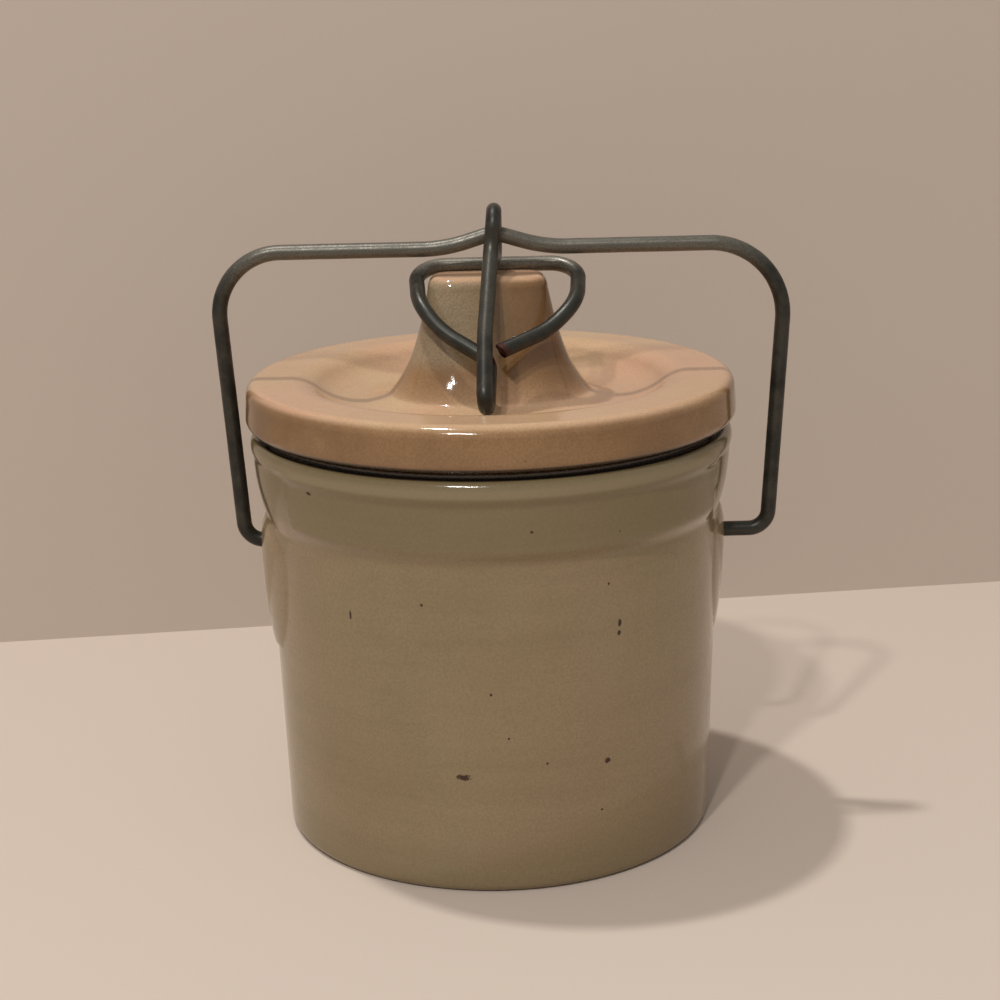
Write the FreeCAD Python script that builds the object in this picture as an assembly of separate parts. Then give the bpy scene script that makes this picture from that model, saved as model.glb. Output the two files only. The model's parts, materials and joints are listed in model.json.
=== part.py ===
import FreeCAD, Part
import math
import os

from FreeCAD import Vector

# Stoneware cheese crock with its lid, a wire bail handle and a wire toggle clamp.
# Millimetres. +Z is up, the crock stands on z = 0 with its axis on Z.
# The bail spans X, the knob's broad face looks along -Y.

# Crock: a straight-walled pot with a foot, a collar and a rim bead.
# Radii step from the wall, heights are measured down from the rim.
wall_radius = 53.1
rim_height = 96.2
foot_inset = 2.1
foot_rounding = 1.8
collar_proud = 2.2
collar_step_top = 15.2
collar_step_low = 20.0
bead_proud = 3.2
bead_step_top = 3.8
bead_step_low = 6.6
step_softness = 0.6
rim_rounding = 2.4

# Lid: a flat outer ring, a dished trough and a flared blade knob.
lid_overhang = 0.9
lid_draft = 0.3
lid_height = 11.8
lid_lip_gap = 1.5
lid_lip_width = 3.8
lid_low_rounding = 2.3
lid_top_rounding = 3.0
ring_width = 10.7
ring_edge_radius = 4.0
trough_depth = 5.6
trough_slope_run = 16.5

knob_height = 28.6
knob_half_width = 13.2
knob_half_depth = 6.8
knob_taper = 0.19
knob_corner_radius = 5.0
knob_corner_growth = 1.3
knob_end_flat = 0.4
knob_top_rounding = 2.8
flare_reach = 6.6
flare_height = 6.5
toe_reach = 3.6
toe_height = 1.6
knob_levels = (0.0, 0.017, 0.038, 0.066, 0.112, 0.182, 0.28, 0.4, 0.56, 0.735, 0.875, 1.0)

# Ears: a teardrop swelling on each side, bored for the bail's ends.
# Heights are measured down from the collar's lower edge.
ear_proud = 1.8
ear_root = 0.3
ear_axis_offset = 18.8
ear_rise = 1.2
ear_crest_drop = 6.0
pivot_drop = 7.6
ear_length = 31.4
bore_depth = 5.6
scoop_flatness = 11.0
scoop_top = 2.6
scoop_proud = 2.7
scoop_low_drop = 1.2
scoop_low_proud = -0.1

# Wire, of one gauge throughout.
wire_radius = 1.8
pivot_clearance = 0.08
end_play = 0.5

# Bail: feet measured out from the ears, shoulders out from the lid, bar up from the knob.
bail_foot_left = 4.0
bail_foot_right = 10.3
bail_foot_bend = 4.6
bail_shoulder_left = 5.8
bail_shoulder_right = 12.1
bail_shoulder_bend_left = 14.5
bail_shoulder_bend_right = 17.0
bar_above_knob = 6.0
crook_centre = 1.8
crook_rise = 3.5
crook_reach = 11.5
crook_bend = 9.0
crook_foot_bend = 14.4

# Clamp, one bent wire: hook, eye over the crook, front strand, foot, rear leg and loop.
# The loop goes round the knob and bears on its rounded back edge, the foot hangs in the trough.
clamp_gap = 0.4
bearing_angle = 41.0
eye_slack = 0.5
eye_head = 1.8
hook_length = 12.0
hook_tip_drop = 0.9
hook_reach = 1.2
hook_bend = 2.4
strand_start_drop = 2.3
strand_start_bend = 9.0
strand_start_sway = -0.8
foot_ahead = 18.4
foot_clear = 1.4
foot_bend = 2.5
foot_skew = 1.2
foot_sway = -1.7
rear_leg_length = 13.2
leg_bend = 5.0
loop_slack_left = 2.9
loop_slack_right = 7.2
loop_corner_bend = 4.8
loop_side_fall = 7.3
loop_side_tuck = 2.1
loop_side_bend = 6.0
loop_front_fall = 12.8
loop_front_gap = 2.3
loop_front_left = 10.4
loop_front_right = 14.6
loop_front_bend = 14.0
end_fall = 15.9
end_ahead = 8.0
end_offset = 2.0

# Radii and heights that follow.
foot_radius = wall_radius - foot_inset
collar_radius = wall_radius + collar_proud
bead_radius = wall_radius + bead_proud
collar_low = rim_height - collar_step_low
collar_high = rim_height - collar_step_top
bead_low = rim_height - bead_step_low
bead_high = rim_height - bead_step_top
lid_radius = bead_radius + lid_overhang
lid_shoulder_radius = lid_radius - lid_draft
lid_seat_radius = lid_radius - lid_lip_width
ring_inner_radius = lid_radius - ring_width
trough_floor_radius = ring_inner_radius - trough_slope_run
lid_top = rim_height + lid_height
trough_floor = lid_top - trough_depth
knob_top = trough_floor + knob_height
ear_top = collar_low + ear_rise
ear_crest = collar_low - ear_crest_drop
ear_tip = ear_top - ear_length
ear_face = wall_radius + ear_proud
pivot_height = collar_low - pivot_drop
bail_end = ear_face - bore_depth + end_play
bar_height = knob_top + bar_above_knob


def ring_point(radius, height):
    """Point of a turned profile."""
    return Vector(radius, 0, height)


def line(start, end):
    """Straight edge."""
    return Part.LineSegment(start, end).toShape()


def quarter(start, end, corner):
    """Quarter round from start to end, bulging towards the sharp corner."""
    centre = start + end - corner
    middle = centre + (corner - centre) * math.sqrt(0.5)
    return Part.Arc(start, middle, end).toShape()


def s_curve(start, end, tangent, first_radius):
    """Two tangent arcs that leave start and reach end along the same direction."""
    step = end - start
    run = step.dot(tangent)
    across = step - tangent * run
    rise = across.Length
    side = across * (1.0 / rise)
    turn = 2.0 * math.atan2(rise, run)
    second_radius = run / math.sin(turn) - first_radius

    def first(angle):
        return start + tangent * (first_radius * math.sin(angle)) + side * (
            first_radius * (1.0 - math.cos(angle))
        )

    def second(angle):
        return end - tangent * (second_radius * math.sin(angle)) - side * (
            second_radius * (1.0 - math.cos(angle))
        )

    middle = first(turn)
    return [
        Part.Arc(start, first(turn / 2), middle).toShape(),
        Part.Arc(middle, second(turn / 2), end).toShape(),
    ]


def turned(edges):
    """Solid of revolution about Z from a closed profile."""
    face = Part.Face(Part.Wire(edges))
    return face.revolve(Vector(0, 0, 0), Vector(0, 0, 1), 360)


def rounded_route(points, bends):
    """Straight runs through the points, joined by tangent arcs of the given radii."""
    edges = []
    last = points[0]
    for before, corner, after, bend in zip(points, points[1:], points[2:], bends):
        back = (before - corner).normalize()
        ahead = (after - corner).normalize()
        half_turn = (math.pi - back.getAngle(ahead)) / 2.0
        setback = bend * math.tan(half_turn)
        start = corner + back * setback
        end = corner + ahead * setback
        towards = (back + ahead).normalize()
        centre = corner + towards * (bend / math.cos(half_turn))
        middle = centre - towards * bend
        if (start - last).dot(back) > -1e-6 and (start - last).Length > 1e-6:
            raise ValueError("bends overlap near %s" % corner)
        if (start - last).Length > 1e-6:
            edges.append(line(last, start))
        edges.append(Part.Arc(start, middle, end).toShape())
        last = end
    edges.append(line(last, points[-1]))
    return Part.Wire(edges)


def bent_rod(points, bends, radius):
    """Round wire along a route of straight runs and arcs."""
    route = rounded_route(points, bends)
    direction = (points[1] - points[0]).normalize()
    section = Part.Wire(Part.makeCircle(radius, points[0], direction))
    return route.makePipeShell([section], True, False)


def make_ear(side):
    """Teardrop swelling below the collar, turned about an upright axis inside the wall."""
    reach = ear_face - ear_axis_offset
    sink = ear_proud + ear_root
    drop_high = ear_top - ear_crest
    drop_low = ear_crest - ear_tip
    turn_high = math.atan2(sink, drop_high)
    turn_low = math.atan2(sink, drop_low)
    radius_high = drop_high / math.sin(2 * turn_high)
    radius_low = drop_low / math.sin(2 * turn_low)
    crest = ring_point(reach, ear_crest)
    top = ring_point(reach - sink, ear_top)
    tip = ring_point(reach - sink, ear_tip)
    mid_high = ring_point(
        reach - radius_high * (1 - math.cos(turn_high)),
        ear_crest + radius_high * math.sin(turn_high),
    )
    mid_low = ring_point(
        reach - radius_low * (1 - math.cos(turn_low)),
        ear_crest - radius_low * math.sin(turn_low),
    )
    profile = [
        line(ring_point(0, ear_tip), tip),
        Part.Arc(tip, mid_low, crest).toShape(),
        Part.Arc(crest, mid_high, top).toShape(),
        line(top, ring_point(0, ear_top)),
        line(ring_point(0, ear_top), ring_point(0, ear_tip)),
    ]
    ear = turned(profile)
    ear.translate(Vector(side * ear_axis_offset, 0, 0))
    return ear


def make_scoop(side):
    """Ring that thins the collar above one ear, turned about an axis beyond the crock's own."""
    top = ring_point(wall_radius + scoop_proud + scoop_flatness, bead_low + scoop_top)
    low_height = collar_low - scoop_low_drop + ear_rise
    low = ring_point(wall_radius + scoop_low_proud + scoop_flatness, low_height)
    height = top.z - low.z
    half_turn = math.atan2(top.x - low.x, height)
    radius = height / math.sin(2 * half_turn)
    middle = ring_point(
        top.x - radius * (1 - math.cos(half_turn)),
        top.z - radius * math.sin(half_turn),
    )
    clear = wall_radius + collar_radius
    edges = [
        Part.Arc(low, middle, top).toShape(),
        line(top, ring_point(clear, top.z)),
        line(ring_point(clear, top.z), ring_point(clear, low.z)),
        line(ring_point(clear, low.z), low),
    ]
    ring = turned(edges)
    ring.translate(Vector(-side * scoop_flatness, 0, 0))
    return ring


def make_crock():
    """Pot turned in one piece, with its two ears bored for the bail."""
    up = Vector(0, 0, 1)
    foot_in = ring_point(foot_radius - foot_rounding, 0)
    foot_up = ring_point(foot_radius, foot_rounding)
    wall_top = ring_point(wall_radius, collar_low)
    collar = ring_point(collar_radius, collar_high)
    collar_top = ring_point(collar_radius, bead_low)
    bead = ring_point(bead_radius, bead_high)
    bead_top = ring_point(bead_radius, rim_height - rim_rounding)
    rim_in = ring_point(bead_radius - rim_rounding, rim_height)
    profile = [
        line(ring_point(0, 0), foot_in),
        quarter(foot_in, foot_up, ring_point(foot_radius, 0)),
        line(foot_up, wall_top),
        *s_curve(wall_top, collar, up, (collar_high - collar_low) * step_softness),
        line(collar, collar_top),
        *s_curve(collar_top, bead, up, (bead_high - bead_low) * step_softness),
        line(bead, bead_top),
        quarter(bead_top, rim_in, ring_point(bead_radius, rim_height)),
        line(rim_in, ring_point(0, rim_height)),
        line(ring_point(0, rim_height), ring_point(0, 0)),
    ]
    crock = turned(profile)
    for side in (-1, 1):
        crock = crock.cut(make_scoop(side))
        crock = crock.fuse(make_ear(side))
    bore_radius = wire_radius + pivot_clearance
    for side in (-1, 1):
        floor = Vector(side * (ear_face - bore_depth), 0, pivot_height)
        bore = Part.makeCylinder(bore_radius, bore_depth + ear_proud, floor, Vector(side, 0, 0))
        crock = crock.cut(bore)
    return crock.removeSplitter()


def knob_growth(height):
    """How far the knob's faces stand out at a height above the trough's floor."""
    flare = flare_reach * math.exp(-height / flare_height)
    toe = toe_reach * max(0.0, 1.0 - height / toe_height) ** 2
    return knob_taper * (knob_height - height), flare + toe


def rounded_rectangle(half_width, half_depth, corner, height):
    """Closed level outline of eight edges, anticlockwise from its right side."""
    half = math.sqrt(0.5)
    edges = []
    for sx, sy in ((1, 1), (-1, 1), (-1, -1), (1, -1)):
        cx = sx * (half_width - corner)
        cy = sy * (half_depth - corner)
        side_point = Vector(sx * half_width, cy, height)
        face_point = Vector(cx, sy * half_depth, height)
        bulge = Vector(cx + sx * corner * half, cy + sy * corner * half, height)
        if sx == sy:
            start, end = side_point, face_point
        else:
            start, end = face_point, side_point
        if edges:
            edges.append(line(edges[-1].Vertexes[-1].Point, start))
        edges.append(Part.Arc(start, bulge, end).toShape())
    edges.append(line(edges[-1].Vertexes[-1].Point, edges[0].Vertexes[0].Point))
    return Part.Wire(edges)


def make_knob():
    """Blade knob that flares into the trough, lofted through level outlines."""
    outlines = []
    for level in knob_levels:
        height = level * knob_height
        taper, flare = knob_growth(height)
        half_width = knob_half_width + taper + flare
        half_depth = knob_half_depth + taper + flare
        corner = knob_corner_radius + taper + knob_corner_growth * flare
        corner = min(corner, half_depth - knob_end_flat)
        outlines.append(rounded_rectangle(half_width, half_depth, corner, trough_floor + height))
    knob = Part.makeLoft(outlines, True, False)
    top_edges = [
        edge for edge in knob.Edges
        if min(vertex.Z for vertex in edge.Vertexes) > knob_top - 1e-3
    ]
    return knob.makeFillet(knob_top_rounding, top_edges)


def make_lid():
    """Turned lid that sits on the rim, with its knob."""
    lip = rim_height + lid_lip_gap
    low_in = ring_point(lid_radius - lid_low_rounding, lip)
    low_up = ring_point(lid_radius, lip + lid_low_rounding)
    shoulder = ring_point(lid_shoulder_radius, lid_top - lid_top_rounding)
    shoulder_in = ring_point(lid_shoulder_radius - lid_top_rounding, lid_top)
    ring_in = ring_point(ring_inner_radius, lid_top)
    floor_out = ring_point(trough_floor_radius, trough_floor)
    profile = [
        line(ring_point(0, rim_height), ring_point(lid_seat_radius, rim_height)),
        line(ring_point(lid_seat_radius, rim_height), ring_point(lid_seat_radius, lip)),
        line(ring_point(lid_seat_radius, lip), low_in),
        quarter(low_in, low_up, ring_point(lid_radius, lip)),
        line(low_up, shoulder),
        quarter(shoulder, shoulder_in, ring_point(lid_shoulder_radius, lid_top)),
        line(shoulder_in, ring_in),
        *s_curve(ring_in, floor_out, Vector(-1, 0, 0), ring_edge_radius),
        line(floor_out, ring_point(0, trough_floor)),
        line(ring_point(0, trough_floor), ring_point(0, rim_height)),
    ]
    return turned(profile).fuse(make_knob()).removeSplitter()


def crook_point():
    """Middle of the bail's crook, where the clamp's eye rides."""
    half_turn = math.atan2(crook_rise, crook_reach)
    sag = crook_bend * (1.0 / math.cos(half_turn) - 1.0)
    return Vector(crook_centre, 0, bar_height + crook_rise - sag)


def make_bail():
    """Wire handle whose ends turn in the ears' bores."""
    points = [
        Vector(-bail_end, 0, pivot_height),
        Vector(-ear_face - bail_foot_left, 0, pivot_height),
        Vector(-lid_radius - bail_shoulder_left, 0, bar_height),
        Vector(crook_centre - crook_reach, 0, bar_height),
        Vector(crook_centre, 0, bar_height + crook_rise),
        Vector(crook_centre + crook_reach, 0, bar_height),
        Vector(lid_radius + bail_shoulder_right, 0, bar_height),
        Vector(ear_face + bail_foot_right, 0, pivot_height),
        Vector(bail_end, 0, pivot_height),
    ]
    bends = [
        bail_foot_bend,
        bail_shoulder_bend_left,
        crook_foot_bend,
        crook_bend,
        crook_foot_bend,
        bail_shoulder_bend_right,
        bail_foot_bend,
    ]
    return bent_rod(points, bends, wire_radius)


def bearing_point():
    """Centre of the loop's back strand, clear of the knob's rounded back edge."""
    slant = math.sqrt(1.0 + knob_taper**2)
    edge_y = knob_half_depth + knob_taper * knob_top_rounding - knob_top_rounding * slant
    reach = knob_top_rounding + wire_radius + clamp_gap
    angle = math.radians(bearing_angle)
    return Vector(
        0,
        edge_y + reach * math.sin(angle),
        knob_top - knob_top_rounding + reach * math.cos(angle),
    )


def before_knob(x, height, gap):
    """Point in front of the knob's face at a height, a gap clear of it."""
    face = knob_half_depth + knob_taper * (knob_top - height)
    return Vector(x, -face - wire_radius - gap, height)


def beside_knob(side, height, slack):
    """Point beside the knob at a height, level with the knob's front face."""
    face_x = knob_half_width + knob_taper * (knob_top - height)
    face_y = knob_half_depth + knob_taper * (knob_top - height)
    return Vector(side * (face_x + wire_radius + slack), -face_y, height)


def clamp_route():
    """Corners and bends of the clamp's wire, from its hooked end to its cut end."""
    crook = crook_point()
    back = bearing_point()
    eye_half = 2 * wire_radius + eye_slack
    eye_top = crook.z + 2 * wire_radius + eye_head
    hook_low = eye_top - hook_length
    strand_start = crook + Vector(strand_start_sway, -eye_half, -strand_start_drop)
    foot_front = before_knob(foot_sway, trough_floor + foot_clear + wire_radius + foot_bend, 0)
    foot_front = foot_front - Vector(0, foot_ahead, 0)
    down = (foot_front - strand_start).normalize()
    behind = Vector(0, -down.z, down.y)
    foot_rear = foot_front + behind * (2 * foot_bend) + Vector(foot_skew, 0, 0)
    leg_top = foot_rear - down * rear_leg_length
    side_height = back.z - loop_side_fall
    front_height = back.z - loop_front_fall
    left = Vector(-knob_half_width - wire_radius - loop_slack_left, back.y, back.z)
    right = Vector(knob_half_width + wire_radius + loop_slack_right, back.y, back.z)
    tuck = Vector(loop_side_tuck, 0, 0)
    end_height = back.z - end_fall
    points = [
        Vector(crook.x - hook_tip_drop, -hook_reach, hook_low),
        Vector(crook.x, eye_half, hook_low + hook_tip_drop),
        Vector(crook.x, eye_half, eye_top),
        Vector(crook.x, -eye_half, eye_top),
        strand_start,
        foot_front,
        foot_rear,
        leg_top,
        before_knob(-loop_front_left, front_height, loop_front_gap),
        beside_knob(-1, side_height, loop_slack_left) + tuck,
        left,
        right,
        beside_knob(1, side_height, loop_slack_right) - tuck,
        before_knob(loop_front_right, front_height, loop_front_gap),
        before_knob(end_offset, end_height, end_ahead),
    ]
    bends = [
        hook_bend,
        eye_half - 0.05,
        eye_half - 0.05,
        strand_start_bend,
        foot_bend - 0.05,
        foot_bend - 0.05,
        leg_bend,
        loop_front_bend,
        loop_side_bend,
        loop_corner_bend,
        loop_corner_bend,
        loop_side_bend,
        loop_front_bend,
    ]
    return points, bends


def make_clamp():
    """Toggle clamp bent from one wire."""
    points, bends = clamp_route()
    return bent_rod(points, bends, wire_radius)


if __name__ == "__main__":
    os.makedirs("parts", exist_ok=True)
    pieces = {
        "crock": make_crock(),
        "lid": make_lid(),
        "bail": make_bail(),
        "clamp": make_clamp(),
    }
    for name, piece in pieces.items():
        print(name, piece.isValid(), len(piece.Solids), round(piece.Volume, 1))
        piece.exportStep(os.path.join("parts", name + ".step"))
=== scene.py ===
"""Stoneware cheese crock with a dished lid, a wire bail handle and a wire toggle clamp."""

import json
import logging
import math
from dataclasses import dataclass
from enum import Enum
from typing import NamedTuple

import bpy
from bpy.types import Material, Node, NodeSocket, NodeTree, Object
from mathutils import Matrix, Vector, noise


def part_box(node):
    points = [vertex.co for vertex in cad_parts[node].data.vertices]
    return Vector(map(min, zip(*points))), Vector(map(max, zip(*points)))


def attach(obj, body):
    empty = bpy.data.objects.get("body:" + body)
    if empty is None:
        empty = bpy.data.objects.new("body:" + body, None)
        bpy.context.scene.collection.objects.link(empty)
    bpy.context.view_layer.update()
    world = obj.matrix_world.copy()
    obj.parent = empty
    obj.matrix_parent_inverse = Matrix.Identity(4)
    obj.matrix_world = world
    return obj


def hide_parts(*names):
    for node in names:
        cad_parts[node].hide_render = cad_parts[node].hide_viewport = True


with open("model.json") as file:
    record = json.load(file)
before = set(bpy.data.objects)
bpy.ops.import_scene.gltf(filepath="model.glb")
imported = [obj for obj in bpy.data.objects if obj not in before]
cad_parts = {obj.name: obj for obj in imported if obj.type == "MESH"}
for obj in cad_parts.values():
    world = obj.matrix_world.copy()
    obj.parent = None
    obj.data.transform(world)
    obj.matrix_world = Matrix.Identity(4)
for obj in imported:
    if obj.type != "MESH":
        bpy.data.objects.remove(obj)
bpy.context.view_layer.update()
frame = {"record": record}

LOG = logging.getLogger("cheese_crock")
MM = 0.001
TINY = 1e-9


class Side(Enum):
    """Which way along X a feature lies."""

    LEFT = -1
    RIGHT = 1


class Body(Enum):
    """Bodies of the frame that pieces ride on."""

    POT = "pot"
    HANDLE = "handle"
    TOGGLE = "toggle"


class Pair(NamedTuple):
    """One measure on the left and on the right, in millimetres."""

    left: float
    right: float


# ---- small geometry helpers


def smooth_step(low: float, high: float, value: float) -> float:
    """Smooth ramp from 0 at low to 1 at high."""
    t = min(max((value - low) / (high - low), 0.0), 1.0)
    return t * t * (3.0 - 2.0 * t)


def spread(start: float, end: float, step: float) -> list[float]:
    """Even values from start up to, but not including, end.

    Args:
        start: First value.
        end: Value the list stops short of.
        step: Largest spacing.

    Returns:
        The values.
    """
    count = max(1, math.ceil(abs(end - start) / step))
    return [start + (end - start) * i / count for i in range(count)]


def quarter_turn(count: int) -> list[tuple[float, float]]:
    """Sine and cosine at even steps of a quarter turn, both ends included."""
    angles = [math.pi / 2 * k / count for k in range(count + 1)]
    return [(math.sin(a), math.cos(a)) for a in angles]


def corner_dip(radius: float, over: float) -> float:
    """How far a rounded corner has drawn in, at a distance past the start of its arc."""
    return radius - math.sqrt(max(radius**2 - over**2, 0.0))


def wobble(x: float, y: float, z: float, scale: float) -> float:
    """Slow noise from -1 to 1 for a place in millimetres."""
    return noise.noise(Vector((x, y, z)) * scale)


def grid_mesh(name: str, rows: list[list[Vector]]) -> Object:
    """Closed skin through rings of points, given in millimetres.

    Args:
        name: Name of the new object.
        rows: Rings of equal count, each going round once.

    Returns:
        The object, linked to the scene.
    """
    count = len(rows[0])
    verts = [point * MM for row in rows for point in row]
    faces: list[tuple[int, ...]] = []
    turn = [(j, (j + 1) % count) for j in range(count)]
    for a in range(0, (len(rows) - 1) * count, count):
        faces.extend((a + j, a + k, a + count + k, a + count + j) for j, k in turn)
    for base, row, flip in ((0, rows[0], True), ((len(rows) - 1) * count, rows[-1], False)):
        tip = len(verts)
        verts.append(sum(row, Vector()) / count * MM)
        for j, k in turn:
            pair = (base + k, base + j) if flip else (base + j, base + k)
            faces.append((tip, *pair))
    mesh = bpy.data.meshes.new(name)
    mesh.from_pydata([tuple(v) for v in verts], [], faces)
    mesh.validate()
    mesh.polygons.foreach_set("use_smooth", [True] * len(mesh.polygons))
    mesh.update()
    obj = bpy.data.objects.new(name, mesh)
    bpy.context.collection.objects.link(obj)
    return obj


def cut_with(obj: Object, tools: list[Object]) -> None:
    """Cut tools out of an object for good, and delete them.

    Args:
        obj: The object that is cut.
        tools: Closed objects that are taken away.
    """
    for tool in tools:
        cut = obj.modifiers.new("cut", "BOOLEAN")
        cut.operation = "DIFFERENCE"
        cut.solver = "EXACT"
        cut.object = tool
    graph = bpy.context.evaluated_depsgraph_get()
    result = bpy.data.meshes.new_from_object(obj.evaluated_get(graph))
    old = obj.data
    obj.modifiers.clear()
    obj.data = result
    bpy.data.meshes.remove(old)
    for tool in tools:
        bpy.data.objects.remove(tool)


def keep_creases(obj: Object, angle_deg: float) -> None:
    """Mark edges sharper than an angle, so that smooth shading stops there."""
    limit = math.radians(angle_deg)
    mesh = obj.data
    by_edge: dict[tuple[int, int], list[int]] = {}
    for poly in mesh.polygons:
        for key in poly.edge_keys:
            by_edge.setdefault(key, []).append(poly.index)
    for edge in mesh.edges:
        pair = by_edge.get(tuple(sorted(edge.vertices)), [])
        if len(pair) == 2:
            one, two = (mesh.polygons[i].normal for i in pair)
            edge.use_edge_sharp = one.length > 0 and two.length > 0 and one.angle(two) > limit


# ---- wire


@dataclass(frozen=True)
class Wire:
    """Round wire bent through corners with rounded bends, in millimetres."""

    radius: float
    step: float = 0.55
    around: int = 32
    hand_wobble: float = 0.05
    crease_deg: float = 50.0
    worn_end: tuple[tuple[float, float], ...] = (
        (1.0, 0.3), (0.93, 0.06), (0.84, 0.0), (0.5, 0.0), (0.12, 0.0)
    )

    def centre_line(self, points: list[Vector], bends: list[float]) -> list[Vector]:
        """Sampled centre line.

        Args:
            points: Ends and sharp corners.
            bends: Radius at each inner corner.

        Returns:
            Points along straight runs and arcs.
        """
        out = [points[0]]
        for i, bend in enumerate(bends):
            corner = points[i + 1]
            back = (points[i] - corner).normalized()
            ahead = (points[i + 2] - corner).normalized()
            half_turn = (math.pi - back.angle(ahead)) / 2.0
            setback = bend * math.tan(half_turn)
            start = corner + back * setback
            self._run(out, start)
            towards = (back + ahead).normalized()
            centre = corner + towards * (bend / math.cos(half_turn))
            across = (start - centre) / bend
            count = max(3, math.ceil(2 * half_turn * bend / self.step))
            for k in range(1, count + 1):
                angle = 2 * half_turn * k / count
                out.append(centre + (across * math.cos(angle) - back * math.sin(angle)) * bend)
        self._run(out, points[-1])
        return out

    def _run(self, out: list[Vector], end: Vector) -> None:
        """Add a straight run to the end of a line."""
        start = out[-1].copy()
        count = max(1, math.ceil((end - start).length / (self.step * 2)))
        out.extend(start.lerp(end, k / count) for k in range(1, count + 1))

    def skin(self, name: str, line: list[Vector], shear_end: float = 0.0) -> Object:
        """Closed tube round a centre line.

        Args:
            name: Name of the piece.
            line: Centre line.
            shear_end: How far the last end is cut aslant, in millimetres.

        Returns:
            The piece.
        """
        tangents = [
            (line[min(i + 1, len(line) - 1)] - line[max(i - 1, 0)]).normalized()
            for i in range(len(line))
        ]
        side = tangents[0].orthogonal().normalized()
        rings: list[list[Vector]] = []
        travelled = 0.0
        for i, (point, along) in enumerate(zip(line, tangents)):
            if i:
                side = tangents[i - 1].rotation_difference(along) @ side
                travelled += (line[i] - line[i - 1]).length
            side = (side - along * side.dot(along)).normalized()
            up = along.cross(side)
            ring = []
            for k in range(self.around):
                angle = 2 * math.pi * k / self.around
                way = side * math.cos(angle) + up * math.sin(angle)
                dip = 0.5 + 0.5 * wobble(travelled * 0.35, math.cos(angle), math.sin(angle), 0.9)
                ring.append(point + way * (self.radius - self.hand_wobble * dip))
            rings.append(ring)
        first = self._end_rings(line[0], -tangents[0], rings[0], 0.0)
        last = self._end_rings(line[-1], tangents[-1], rings[-1], shear_end)
        rows = list(reversed(first)) + rings[1:-1] + last
        piece = grid_mesh(name, rows)
        keep_creases(piece, self.crease_deg)
        return piece

    def _end_rings(
        self, tip: Vector, out: Vector, ring: list[Vector], shear: float
    ) -> list[list[Vector]]:
        """Rings of a cut end with a small worn edge, from the tube to the cut's middle."""
        slant_way = (Vector((0, 0, 1)) - out * out.z).normalized()
        rows = []
        for share, inset in self.worn_end:
            row = []
            for point in ring:
                spoke = (point - tip) * share
                lean = shear * spoke.dot(slant_way) / (2 * self.radius)
                row.append(tip + spoke + out * (lean - abs(shear) / 2 - inset))
            rows.append(row)
        return rows


@dataclass
class Bail:
    """Wire handle in its own upright plane, in millimetres."""

    wire: Wire
    pivot_height: float
    ear_face: float
    lid_radius: float
    bar_height: float
    crook_centre: float
    pin_depth: float = 5.1
    foot_out: Pair = Pair(4.0, 10.3)
    shoulder_out: Pair = Pair(5.8, 12.1)
    shoulder_bend: Pair = Pair(14.5, 17.0)
    foot_bend: float = 4.6
    crook_rise: float = 3.5
    crook_reach: float = 11.5
    crook_bend: float = 9.0
    crook_foot_bend: float = 36.0

    def build(self) -> Object:
        """The handle's mesh."""
        end = self.ear_face - self.pin_depth
        low, bar, mid = self.pivot_height, self.bar_height, self.crook_centre
        places = [
            (-end, low),
            (-self.ear_face - self.foot_out.left, low),
            (-self.lid_radius - self.shoulder_out.left, bar),
            (mid - self.crook_reach, bar),
            (mid, bar + self.crook_rise),
            (mid + self.crook_reach, bar),
            (self.lid_radius + self.shoulder_out.right, bar),
            (self.ear_face + self.foot_out.right, low),
            (end, low),
        ]
        crook = [self.crook_foot_bend, self.crook_bend, self.crook_foot_bend]
        bends = [self.foot_bend, self.shoulder_bend.left, *crook]
        bends += [self.shoulder_bend.right, self.foot_bend]
        line = self.wire.centre_line([Vector((x, 0, z)) for x, z in places], bends)
        return self.wire.skin("bail_wire", line)


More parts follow.
